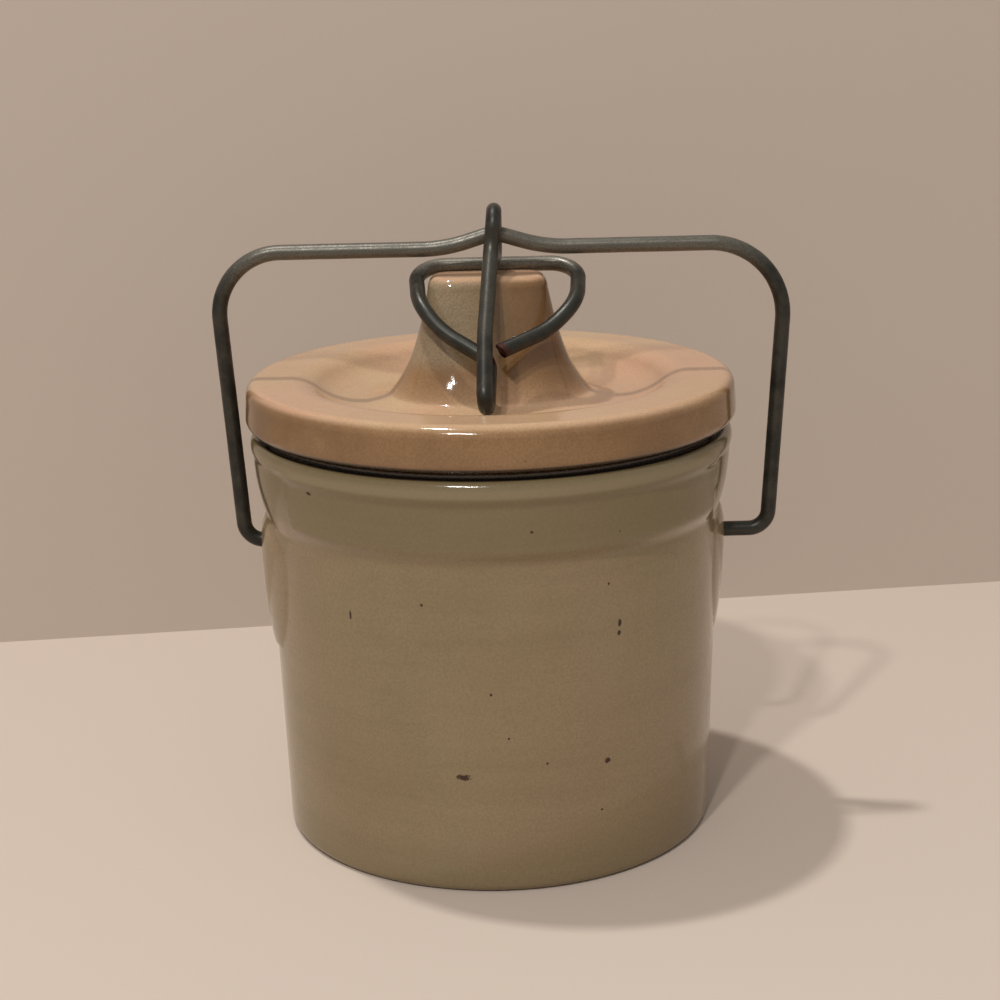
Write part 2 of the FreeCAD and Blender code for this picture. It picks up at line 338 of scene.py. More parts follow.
@dataclass
class Clamp:
    """Toggle bent from one wire: hook, eye, front strand, foot, rear leg and loop."""

    wire: Wire
    crook: Vector
    lid: "Lid"
    gap: float = 0.4
    bearing_deg: float = 41.0
    eye_slack: float = 0.5
    eye_head: float = 1.8
    hook_length: float = 12.0
    hook_tip_drop: float = 0.9
    hook_reach: float = 1.2
    strand_drop: float = 2.3
    strand_sway: float = -0.8
    foot_ahead: float = 18.4
    foot_clear: float = 1.4
    foot_bend: float = 2.5
    foot_skew: float = 0.6
    foot_sway: float = -1.3
    strand_bow: float = 0.55
    strand_bow_share: float = 0.6
    strand_bow_bend: float = 60.0
    leg_length: float = 13.2
    slack: Pair = Pair(1.8, 6.4)
    side_fall: float = 6.4
    side_tuck: float = 2.1
    front_fall: float = 11.9
    front_gap: float = 2.3
    front_reach: Pair = Pair(10.6, 13.6)
    end_fall: float = 15.6
    end_ahead: float = 8.0
    end_offset: float = 2.0
    hook_bend: float = 2.4
    strand_bend: float = 9.0
    leg_bend: float = 5.0
    front_bend: float = 22.0
    side_bend: float = 13.0
    corner_bend: float = 6.6
    cut_slant: float = 1.6
    bend_spare: float = 0.05

    def _bearing(self) -> Vector:
        """Centre of the strand that bears on the knob's back edge."""
        slant = math.sqrt(1.0 + self.lid.knob_taper**2)
        edge = self.lid.knob_half_depth + self.lid.knob_taper * self.lid.knob_rounding
        edge -= self.lid.knob_rounding * slant
        reach = self.lid.knob_rounding + self.wire.radius + self.gap
        angle = math.radians(self.bearing_deg)
        rise = reach * math.cos(angle) - self.lid.knob_rounding
        return Vector((0, edge + reach * math.sin(angle), self.lid.knob_top + rise))

    def _before(self, x: float, height: float, gap: float) -> Vector:
        """Place in front of the knob at a height, a gap clear of its face."""
        face = self.lid.knob_half_depth + self.lid.knob_taper * (self.lid.knob_top - height)
        return Vector((x, -face - self.wire.radius - gap, height))

    def _beside(self, side: Side, height: float) -> Vector:
        """Place beside the knob, level with its front face."""
        lean = self.lid.knob_taper * (self.lid.knob_top - height)
        slack = self.slack.left if side is Side.LEFT else self.slack.right
        out = self.lid.knob_half_width + lean + self.wire.radius + slack - self.side_tuck
        return Vector((side.value * out, -self.lid.knob_half_depth - lean, height))

    def build(self) -> Object:
        """The clamp's mesh."""
        crook, back = self.crook, self._bearing()
        eye = 2 * self.wire.radius + self.eye_slack
        eye_top = crook.z + 2 * self.wire.radius + self.eye_head
        hook_low = eye_top - self.hook_length
        start = crook + Vector((self.strand_sway, -eye, -self.strand_drop))
        foot_z = self.lid.trough_floor + self.foot_clear + self.wire.radius + self.foot_bend
        foot = self._before(self.foot_sway, foot_z, self.foot_ahead)
        bow = start.lerp(foot, self.strand_bow_share) - Vector((self.strand_bow, 0, 0))
        down = (foot - start).normalized()
        behind = Vector((0, -down.z, down.y))
        rear = foot + behind * (2 * self.foot_bend) + Vector((self.foot_skew, 0, 0))
        side_z, front_z = back.z - self.side_fall, back.z - self.front_fall
        reach = self.lid.knob_half_width + self.wire.radius
        points = [
            Vector((crook.x - self.hook_tip_drop, -self.hook_reach, hook_low)),
            Vector((crook.x, eye, hook_low + self.hook_tip_drop)),
            Vector((crook.x, eye, eye_top)),
            Vector((crook.x, -eye, eye_top)),
            start,
            bow,
            foot,
            rear,
            rear - down * self.leg_length,
            self._before(-self.front_reach.left, front_z, self.front_gap),
            self._beside(Side.LEFT, side_z),
            Vector((-reach - self.slack.left, back.y, back.z)),
            Vector((reach + self.slack.right, back.y, back.z)),
            self._beside(Side.RIGHT, side_z),
            self._before(self.front_reach.right, front_z, self.front_gap),
            self._before(self.end_offset, back.z - self.end_fall, self.end_ahead),
        ]
        tight, round_eye = self.foot_bend - self.bend_spare, eye - self.bend_spare
        bends = [self.hook_bend, round_eye, round_eye, self.strand_bend, self.strand_bow_bend]
        bends += [tight, tight, self.leg_bend, self.front_bend, self.side_bend]
        bends += [self.corner_bend, self.corner_bend, self.side_bend, self.front_bend]
        line = self.wire.centre_line(points, bends)
        return self.wire.skin("clamp_wire", line, self.cut_slant)


# ---- pot


@dataclass
class Pot:
    """Straight-walled pot with foot, collar, rim bead and two bored ears, in millimetres."""

    rim_height: float
    bead_radius: float
    pivot_height: float
    wire_radius: float
    bead_proud: float = 3.2
    foot_inset: float = 2.1
    foot_rounding: float = 1.8
    collar_proud: float = 2.2
    collar_step: tuple[float, float] = (20.0, 15.2)
    bead_step: tuple[float, float] = (6.6, 3.8)
    rim_rounding: float = 2.4
    ear_proud: float = 1.8
    ear_root: float = 0.3
    ear_offset: float = 18.8
    ear_rise: float = 1.2
    ear_crest_drop: float = 6.0
    ear_length: float = 31.4
    scoop_half_deg: float = 31.0
    scoop_edge_deg: float = 2.6
    scoop_fade: float = 1.2
    scoop_top: float = 2.6
    scoop_proud: float = 2.7
    scoop_low_proud: float = -0.1
    bore_depth: float = 5.6
    bore_clearance: float = 0.08
    bore_sides: int = 40
    bore_rows: float = 4.0
    ear_rows: float = 32.0
    ear_zone: float = 0.5
    scoop_sill: float = 0.4
    edge_power: float = 0.72
    ear_depth: float = 2.2
    ear_skew_deg: float = 5.0
    throwing: float = 0.10
    crease_deg: float = 40.0

    @property
    def wall_radius(self) -> float:
        """Radius of the wall under the collar."""
        return self.bead_radius - self.bead_proud

    @property
    def ear_face(self) -> float:
        """Distance of an ear's face from the axis."""
        return self.wall_radius + self.ear_proud

    def _turned_radius(self, z: float) -> float:
        """Radius of the plain turned shape at a height."""
        wall, rim, rounding = self.wall_radius, self.rim_height, self.foot_rounding
        collar_low, collar_high = (rim - step for step in self.collar_step)
        bead_low, bead_high = (rim - step for step in self.bead_step)
        foot = wall - self.foot_inset
        if z < rounding:
            return foot - corner_dip(rounding, rounding - z)
        if z < collar_low:
            return foot + self.foot_inset * (z - rounding) / (collar_low - rounding)
        radius = wall + self.collar_proud * smooth_step(collar_low, collar_high, z)
        bead = self.bead_proud - self.collar_proud
        radius += bead * smooth_step(bead_low, bead_high, z)
        over = max(z - (rim - self.rim_rounding), 0.0)
        return radius - corner_dip(self.rim_rounding, over)

    def _ear_radius(self, turn: float, z: float) -> float:
        """Distance from the axis to an ear's face, at an angle from its middle, or 0 for none."""
        top = self.rim_height - self.collar_step[0] + self.ear_rise
        crest = self.rim_height - self.collar_step[0] - self.ear_crest_drop
        tip = top - self.ear_length
        if not tip < z < top or math.cos(turn) < self.ear_zone:
            return 0.0
        sink = self.ear_proud + self.ear_root
        span = top - crest if z > crest else crest - tip
        bow = span / math.sin(2 * math.atan2(sink, span))
        drop = bow - math.sqrt(bow**2 - (z - crest) ** 2)
        reach = self.ear_face - self.ear_offset - drop
        off = self.ear_offset
        return off * math.cos(turn) + math.sqrt(reach**2 - (off * math.sin(turn)) ** 2)

    def _press(self, turn: float, radius: float, z: float) -> float:
        """Radius once the clay above an ear is pressed to one slanting face."""
        top = self.rim_height - self.bead_step[0] + self.scoop_top
        low = self.rim_height - self.collar_step[0]
        lean = self.scoop_proud - self.scoop_low_proud
        height = top - low
        bow = height / math.sin(2 * math.atan2(lean, height))
        inward = bow - math.sqrt(bow**2 - (top - min(max(z, low), top)) ** 2)
        face = self.wall_radius + self.scoop_proud - inward
        half = math.radians(self.scoop_half_deg)
        share = 1.0 - smooth_step(half - math.radians(self.scoop_edge_deg), half, abs(turn))
        share *= smooth_step(low - self.scoop_sill, low + self.scoop_sill, z)
        share *= 1.0 - smooth_step(top - self.scoop_fade, top + self.scoop_fade, z)
        return radius + (face - radius) * share

    def radius_at(self, angle: float, z: float) -> float:
        """Distance of the glazed surface from the axis.

        Args:
            angle: Direction round the axis, 0 along +X.
            z: Height.

        Returns:
            The distance.
        """
        radius = self._turned_radius(z)
        skewed = angle - math.radians(self.ear_skew_deg)
        turn = math.atan2(math.sin(skewed), abs(math.cos(skewed)))
        if math.cos(turn) > self.ear_zone:
            radius = self._press(turn, radius, z)
        proud = self._ear_radius(turn, z) - radius
        if proud > 0.0:
            radius += self.ear_depth * (proud / self.ear_depth) ** self.edge_power
        hand = wobble(math.cos(angle), math.sin(angle), z * 0.02, 1.6)
        ridge = wobble(0.3 * math.cos(angle), 0.3 * math.sin(angle), z * 0.22, 1.0)
        return radius - self.throwing * (1.0 + 0.6 * hand + 0.4 * ridge) * 0.5

    def _heights(self) -> list[float]:
        """Heights of the mesh's rows, closer together at the ears, collar and rim."""
        rim, rounding = self.rim_height, self.foot_rounding
        starts = [
            (rounding, 1.3),
            (rim - self.collar_step[0] - self.ear_rows, 0.6),
            (self.pivot_height - self.bore_rows, 0.4),
            (rim - self.collar_step[1] + 1, 0.7),
            (rim - self.bead_step[0], 0.35),
            (rim - self.rim_rounding, 0.0),
        ]
        heights = [rounding * (1 - c) for _, c in quarter_turn(6)[:-1]]
        for (start, step), (end, _) in zip(starts, starts[1:]):
            heights += spread(start, end, step)
        return heights + [rim - self.rim_rounding * (1 - s) for s, _ in quarter_turn(8)]

    def _angles(self) -> list[float]:
        """Directions of the mesh's columns, closer together at the two ears."""
        starts = [(-90.0, 1.8), (-36.0, 0.65), (-6.0, 0.5), (6.0, 0.65), (36.0, 1.8), (90.0, 0.0)]
        half: list[float] = []
        for (start, step), (end, _) in zip(starts, starts[1:]):
            half += spread(start, end, step)
        return [math.radians(a + self.ear_skew_deg + back) for back in (0.0, 180.0) for a in half]

    def build(self) -> Object:
        """The pot's mesh, bored for the handle."""
        angles = self._angles()
        ways = [(math.cos(a), math.sin(a)) for a in angles]

        def disc(radius: float, z: float, shares: tuple[float, ...]) -> list[list[Vector]]:
            """Level rings of a flat end."""
            return [[Vector((c * radius * i, s * radius * i, z)) for c, s in ways] for i in shares]

        rows = disc(self._turned_radius(0.0), 0.0, (0.02, 0.35, 0.7, 0.93))
        for z in self._heights():
            reach = [self.radius_at(a, z) for a in angles]
            rows.append([Vector((c * r, s * r, z)) for (c, s), r in zip(ways, reach)])
        top = self.bead_radius - self.rim_rounding
        rows += disc(top, self.rim_height, (0.97, 0.9, 0.5, 0.02))
        pot = grid_mesh("crock_pot", rows)
        cut_with(pot, [self._bore(side) for side in Side])
        keep_creases(pot, self.crease_deg)
        return pot

    def _bore(self, side: Side) -> Object:
        """Cylinder that cuts one ear's blind hole, with a softened mouth."""
        radius = self.wire_radius + self.bore_clearance
        floor, face = self.ear_face - self.bore_depth, self.ear_face
        stations = [(floor, radius), (face - 0.55, radius), (face - 0.2, radius + 0.12)]
        stations += [(face + 0.05, radius + 0.45), (face + 3.0, radius + 0.5)]
        rows = []
        for out, r in stations:
            ring = []
            for k in range(self.bore_sides):
                a = 2 * math.pi * k / self.bore_sides * side.value
                z = self.pivot_height + r * math.sin(a)
                ring.append(Vector((side.value * out, r * math.cos(a), z)))
            rows.append(ring)
        return grid_mesh(f"bore_{side.name.lower()}", rows)


# ---- lid


@dataclass
class Lid:
    """Dished lid with a flared blade knob, in millimetres."""

    rim_height: float
    radius: float
    top_height: float
    knob_top: float
    draft: float = 0.3
    lip_gap: float = 1.5
    lip_width: float = 3.8
    seat_fillet: float = 0.3
    low_rounding: float = 2.3
    top_rounding: float = 3.0
    ring_width: float = 10.7
    ring_edge: float = 10.0
    trough_depth: float = 5.6
    trough_run: float = 16.5
    knob_half_width: float = 13.2
    knob_half_depth: float = 6.8
    knob_taper: float = 0.19
    knob_corner: float = 5.0
    corner_growth: float = 1.3
    end_flat: float = 0.4
    least_corner: float = 0.3
    knob_rounding: float = 2.8
    flare_reach: float = 6.6
    flare_height: float = 6.5
    toe_reach: float = 3.6
    toe_height: float = 1.6
    toe_levels: tuple[float, ...] = (0.0, 0.06, 0.16, 0.3, 0.5, 0.75, 1.0, 1.3, 1.6, 2.0)
    knob_round_in: float = 0.9
    columns: int = 288
    hand: float = 0.12
    crease_deg: float = 60.0

    @property
    def trough_floor(self) -> float:
        """Height of the trough's floor."""
        return self.top_height - self.trough_depth

    def _trough(self) -> list[tuple[float, float]]:
        """Radius and height down the trough's outer slope."""
        start, run, rise = self.radius - self.ring_width, self.trough_run, self.trough_depth
        turn = 2 * math.atan2(rise, run)
        far = run / math.sin(turn) - self.ring_edge
        out = []
        for k in range(1, 9):
            a = turn * k / 8
            fall = self.ring_edge * (1 - math.cos(a))
            out.append((start - self.ring_edge * math.sin(a), self.top_height - fall))
        for k in range(1, 25):
            a = turn * (1 - k / 24)
            rise = far * (1 - math.cos(a))
            out.append((start - run + far * math.sin(a), self.trough_floor + rise))
        return out

    @staticmethod
    def _outline(c: float, s: float, half_width: float, half_depth: float, corner: float) -> float:
        """Distance to a rounded rectangle, in a direction given by its cosine and sine."""
        c, s = abs(c), abs(s)
        if c > TINY and half_width / c * s <= half_depth - corner:
            return half_width / c
        if s > TINY and half_depth / s * c <= half_width - corner:
            return half_depth / s
        cx, cy = half_width - corner, half_depth - corner
        along = c * cx + s * cy
        return along + math.sqrt(max(along**2 - cx**2 - cy**2 + corner**2, 0.0))

    def _knob_row(self, height: float, inset: float, z: float) -> list[Vector]:
        """Outline of the knob at z, sized as at a height over the trough's floor, drawn in."""
        knob_height = self.knob_top - self.trough_floor
        flare = self.flare_reach * math.exp(-height / self.flare_height)
        flare += self.toe_reach * max(0.0, 1.0 - height / self.toe_height) ** 2
        taper = self.knob_taper * (knob_height - height)
        half_width = self.knob_half_width + taper + flare
        half_depth = self.knob_half_depth + taper + flare
        corner = self.knob_corner + taper + self.corner_growth * flare
        corner = min(corner, half_depth - self.end_flat)
        sharp = max(corner - inset, self.least_corner)
        row = []
        for k in range(self.columns):
            angle = 2 * math.pi * k / self.columns
            c, s = math.cos(angle), math.sin(angle)
            r = self._outline(c, s, half_width - inset, half_depth - inset, sharp)
            r -= self.hand * (0.5 + 0.5 * wobble(r * c, r * s, z, 0.09))
            row.append(Vector((r * c, r * s, z)))
        return row

    def _ring_row(self, radius: float, z: float, hand: float) -> list[Vector]:
        """One level circle of the lid with a slight hand-made waver."""
        row = []
        for k in range(self.columns):
            angle = 2 * math.pi * k / self.columns
            c, s = math.cos(angle), math.sin(angle)
            waver = hand * (0.5 + 0.5 * wobble(c * 1.3, s * 1.3, z * 0.03, 1.7))
            row.append(Vector((c * (radius - waver), s * (radius - waver), z)))
        return row

    def build(self) -> Object:
        """The lid's mesh."""
        seat, hand = self.rim_height, self.hand
        lip = seat + self.lip_gap
        seat_radius = self.radius - self.lip_width
        shoulder = self.radius - self.draft
        rows = [self._ring_row(seat_radius * s, seat, 0.0) for s in (0.02, 0.5, 0.9, 0.99, 1.0)]
        steps = ((0.0, seat + 0.4), (0.0, lip - 0.2), (self.seat_fillet, lip))
        rows += [self._ring_row(seat_radius + out, z, 0.0) for out, z in steps]
        for s, c in quarter_turn(8):
            r = self.radius - self.low_rounding * (1 - s)
            rows.append(self._ring_row(r, lip + self.low_rounding * (1 - c), hand))
        low, high = lip + self.low_rounding, self.top_height - self.top_rounding
        for share in (0.25, 0.5, 0.75):
            r, z = self.radius - self.draft * share, low + (high - low) * share
            rows.append(self._ring_row(r, z, hand))
        for s, c in quarter_turn(10):
            r = shoulder - self.top_rounding * (1 - c)
            rows.append(self._ring_row(r, self.top_height - self.top_rounding * (1 - s), hand))
        inner = self.radius - self.ring_width
        for r in spread(shoulder - self.top_rounding - 0.5, inner, 0.8) + [inner]:
            rows.append(self._ring_row(r, self.top_height, hand))
        rows += [self._ring_row(r, z, hand) for r, z in self._trough()]
        rows += self._knob_rows()
        lid = grid_mesh("crock_lid", rows)
        keep_creases(lid, self.crease_deg)
        return lid

    def _knob_rows(self) -> list[list[Vector]]:
        """Rows of the knob, from the trough's floor to the middle of its top."""
        knob_height = self.knob_top - self.trough_floor
        slant = math.sqrt(1 + self.knob_taper**2)
        straight = knob_height - self.knob_rounding
        levels = [*self.toe_levels, *spread(2.4, 12.0, 0.5), *spread(12.0, straight, 0.9)]
        levels.append(straight)
        rows = [self._knob_row(h, 0.0, self.trough_floor + h) for h in levels]
        last = self.knob_rounding * slant * self.knob_round_in
        for s, c in quarter_turn(10)[1:]:
            z = self.knob_top - self.knob_rounding * (1 - s)
            rows.append(self._knob_row(straight, last * (1 - c), z))
        half = self.knob_half_depth + self.knob_taper * self.knob_rounding
        for share in (0.25, 0.5, 0.75, 0.93):
            rows.append(self._knob_row(straight, last + (half - last) * share, self.knob_top))
        return rows


def finish_piece(piece: Object, material: Material, body: Body, node: str) -> None:
    """Give a piece its material and body, and hide the frame node that it replaces.

    Args:
        piece: The piece.
        material: Its material.
        body: Body that it rides on.
        node: Frame node that it replaces.
    """
    piece.data.materials.clear()
    piece.data.materials.append(material)
    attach(piece, body.value)
    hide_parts(node)
    LOG.info("%s: %d faces", piece.name, len(piece.data.polygons))


# ---- shader building


class Graph:
    """Short hand for adding nodes to a shader tree or group."""

    def __init__(self, tree: NodeTree) -> None:
        """Keep the tree that nodes are added to."""
        self.tree = tree

    def node(self, kind: str, **settings: object) -> Node:
        """Add a node and set its properties."""
        made = self.tree.nodes.new(kind)
        for key, value in settings.items():
            setattr(made, key, value)
        return made

    def link(self, source: NodeSocket, target: NodeSocket) -> None:
        """Join two sockets."""
        self.tree.links.new(source, target)

    def feed(self, socket: NodeSocket, value: object) -> None:
        """Link a socket, or set it when the value is a constant."""
        if isinstance(value, NodeSocket):
            self.link(value, socket)
        else:
            socket.default_value = value

    def maths(self, operation: str, *values: object) -> NodeSocket:
        """Arithmetic on one to three values."""
        made = self.node("ShaderNodeMath", operation=operation)
        for socket, value in zip(made.inputs, values):
            self.feed(socket, value)
        return made.outputs[0]

    def times(self, a: object, b: object) -> NodeSocket:
        """Product of two values."""
        return self.maths("MULTIPLY", a, b)

    def plus(self, a: object, b: object) -> NodeSocket:
        """Sum of two values."""
        return self.maths("ADD", a, b)

    def less(self, a: object, b: object) -> NodeSocket:
        """First value less the second."""
        return self.maths("SUBTRACT", a, b)

    def parts(self, vector: NodeSocket | None = None) -> list[NodeSocket]:
        """X, Y and Z of a vector, or of the place in millimetres."""
        made = self.node("ShaderNodeSeparateXYZ")
        self.link(vector or self.place(), made.inputs[0])
        return list(made.outputs)

    def tint(self, colour: object, mask: object, share: float, to: object) -> NodeSocket:
        """Colour shifted by a share of a mask towards another."""
        return self.blend(self.times(mask, share), colour, to)

    def ramp(self, value: object, low: float, high: float) -> NodeSocket:
        """Smooth ramp from 0 at low to 1 at high."""
        made = self.node("ShaderNodeMapRange", interpolation_type="SMOOTHSTEP")
        self.feed(made.inputs["Value"], value)
        made.inputs["From Min"].default_value = low
        made.inputs["From Max"].default_value = high
        return made.outputs["Result"]

    def blend(self, share: object, a: object, b: object) -> NodeSocket:
        """Mix of two colours."""
        made = self.node("ShaderNodeMix", data_type="RGBA")
        self.feed(made.inputs[0], share)
        self.feed(made.inputs[6], a)
        self.feed(made.inputs[7], b)
        return made.outputs[2]

    def place(self) -> NodeSocket:
        """Object coordinates in millimetres."""
        coords = self.node("ShaderNodeTexCoord")
        scaled = self.node("ShaderNodeVectorMath", operation="SCALE")
        self.link(coords.outputs["Object"], scaled.inputs[0])
        scaled.inputs["Scale"].default_value = 1000.0
        return scaled.outputs[0]

    def clouds(
        self, vector: NodeSocket, scale: object, detail: float, rough: float = 0.5
    ) -> NodeSocket:
        """Fractal noise from 0 to 1."""
        made = self.node("ShaderNodeTexNoise")
        self.link(vector, made.inputs["Vector"])
        self.feed(made.inputs["Scale"], scale)
        made.inputs["Detail"].default_value = detail
        made.inputs["Roughness"].default_value = rough
        return made.outputs["Fac"]

    def group(self, tree: NodeTree, **values: object) -> Node:
        """Place a node group and feed its inputs by name."""
        made = self.node("ShaderNodeGroup", node_tree=tree)
        for key, value in values.items():
            self.feed(made.inputs[key.replace("_", " ").title()], value)
        return made


def new_group(
    name: str, inputs: dict[str, tuple[str, object]], outputs: dict[str, str]
) -> tuple[NodeTree, Graph, Node, Node]:
    """Empty node group with named sockets.

    Args:
        name: Name of the group.
        inputs: Socket name to its type and default.
        outputs: Socket name to its type.

    Returns:
        The group, its graph, its input node and its output node.
    """
    tree = bpy.data.node_groups.new(name, "ShaderNodeTree")
    for label, (kind, default) in inputs.items():
        socket = tree.interface.new_socket(name=label, in_out="INPUT", socket_type=kind)
        socket.default_value = default
    for label, kind in outputs.items():
        tree.interface.new_socket(name=label, in_out="OUTPUT", socket_type=kind)
    graph = Graph(tree)
    return tree, graph, graph.node("NodeGroupInput"), graph.node("NodeGroupOutput")


FLOAT, VECTOR = "NodeSocketFloat", "NodeSocketVector"


def mottle_group() -> NodeTree:
    """Blotches, fine pepper and iron specks of a stoneware glaze."""
    tree, g, source, sink = new_group(
        "stoneware_mottle",
        {"Blotch Size": (FLOAT, 20.0), "Pepper Size": (FLOAT, 0.6), "Speck Spacing": (FLOAT, 9.0)},
        {"Blotch": FLOAT, "Pepper": FLOAT, "Specks": FLOAT},
    )
    place = g.place()
    blotch = g.clouds(place, g.maths("DIVIDE", 1.0, source.outputs["Blotch Size"]), 4.0, 0.55)
    pepper = g.clouds(place, g.maths("DIVIDE", 1.0, source.outputs["Pepper Size"]), 3.0, 0.65)
    cells = g.node("ShaderNodeTexVoronoi", feature="F1")
    g.link(place, cells.inputs["Vector"])
    g.feed(cells.inputs["Scale"], g.maths("DIVIDE", 1.0, source.outputs["Speck Spacing"]))
    pick = g.node("ShaderNodeSeparateColor")
    g.link(cells.outputs["Color"], pick.inputs[0])
    size = g.times(g.ramp(pick.outputs[0], 0.72, 1.0), 0.055)
    dot = g.less(size, cells.outputs["Distance"])
    g.link(g.ramp(blotch, 0.36, 0.66), sink.inputs["Blotch"])
    g.link(g.ramp(pepper, 0.3, 0.7), sink.inputs["Pepper"])
    g.link(g.ramp(dot, -0.004, 0.012), sink.inputs["Specks"])
    return tree


def banding_group() -> NodeTree:
    """Level bands left by turning, with slightly broken edges."""
    tree, g, source, sink = new_group(
        "turning_bands",
        {"Band Height": (FLOAT, 4.0), "Waver": (FLOAT, 1.0)},
        {"Bands": FLOAT},
    )
    place = g.place()
    x, y, z = g.parts(place)
    drift = g.times(g.clouds(place, 0.02, 2.0), source.outputs["Waver"])
    level = g.plus(z, drift)
    joined = g.node("ShaderNodeCombineXYZ")
    g.link(g.times(x, 0.012), joined.inputs[0])
    g.link(g.times(y, 0.012), joined.inputs[1])
    g.link(g.maths("DIVIDE", level, source.outputs["Band Height"]), joined.inputs[2])
    g.link(g.clouds(joined.outputs[0], 1.0, 3.0, 0.6), sink.inputs["Bands"])
    return tree


def mark_group() -> NodeTree:
    """One ragged spot at a place, such as a chip or an iron spot."""
    tree, g, source, sink = new_group(
        "glaze_mark",
        {
            "Centre": (VECTOR, (0.0, 0.0, 0.0)),
            "Squeeze": (VECTOR, (1.0, 1.0, 1.0)),
            "Ragged": (FLOAT, 0.4),
        },
        {"Mask": FLOAT},
    )
    place = g.place()
    off = g.node("ShaderNodeVectorMath", operation="SUBTRACT")
    g.link(place, off.inputs[0])
    g.link(source.outputs["Centre"], off.inputs[1])
    squeezed = g.node("ShaderNodeVectorMath", operation="MULTIPLY")
    g.link(off.outputs[0], squeezed.inputs[0])
    g.link(source.outputs["Squeeze"], squeezed.inputs[1])
    far = g.node("ShaderNodeVectorMath", operation="LENGTH")
    g.link(squeezed.outputs[0], far.inputs[0])
    edge = g.less(g.clouds(place, 1.7, 3.0, 0.7), 0.5)
    ragged = g.times(edge, source.outputs["Ragged"])
    reach = g.plus(far.outputs["Value"], g.times(ragged, 3.0))
    g.link(g.less(1.0, g.ramp(reach, 0.72, 1.05)), sink.inputs["Mask"])
    return tree


def oxide_group() -> NodeTree:
    """Patches and fine grain of old darkened wire."""
    tree, g, source, sink = new_group(
        "wire_oxide",
        {"Patch Size": (FLOAT, 5.0), "Grain Size": (FLOAT, 0.35)},
        {"Patches": FLOAT, "Grain": FLOAT},
    )
    place = g.place()
    patch = g.clouds(place, g.maths("DIVIDE", 1.0, source.outputs["Patch Size"]), 4.0, 0.6)
    grain = g.clouds(place, g.maths("DIVIDE", 1.0, source.outputs["Grain Size"]), 3.0, 0.6)
    g.link(g.ramp(patch, 0.38, 0.64), sink.inputs["Patches"])
    g.link(grain, sink.inputs["Grain"])
    return tree


@dataclass(frozen=True)
class SharedEffects:
    """Node groups that the finishes share."""

    mottle: NodeTree
    bands: NodeTree
    mark: NodeTree
    oxide: NodeTree

    @classmethod
    def make(cls) -> "SharedEffects":
        """Build each group once."""
        return cls(mottle_group(), banding_group(), mark_group(), oxide_group())


Colour = tuple[float, float, float, float]


def tone(red: int, green: int, blue: int) -> Colour:
    """Linear colour from display values of 0 to 255."""

    def linear(value: int) -> float:
        share = value / 255.0
        return share / 12.92 if share <= 0.04045 else ((share + 0.055) / 1.055) ** 2.4

    return (linear(red), linear(green), linear(blue), 1.0)


@dataclass(frozen=True)
class GlazeMark:
    """Spot on the pot's wall, as a direction from the front, a height and two sizes in mm."""

    turn_deg: float
    height: float
    width: float
    tall: float
    ragged: float = 0.35


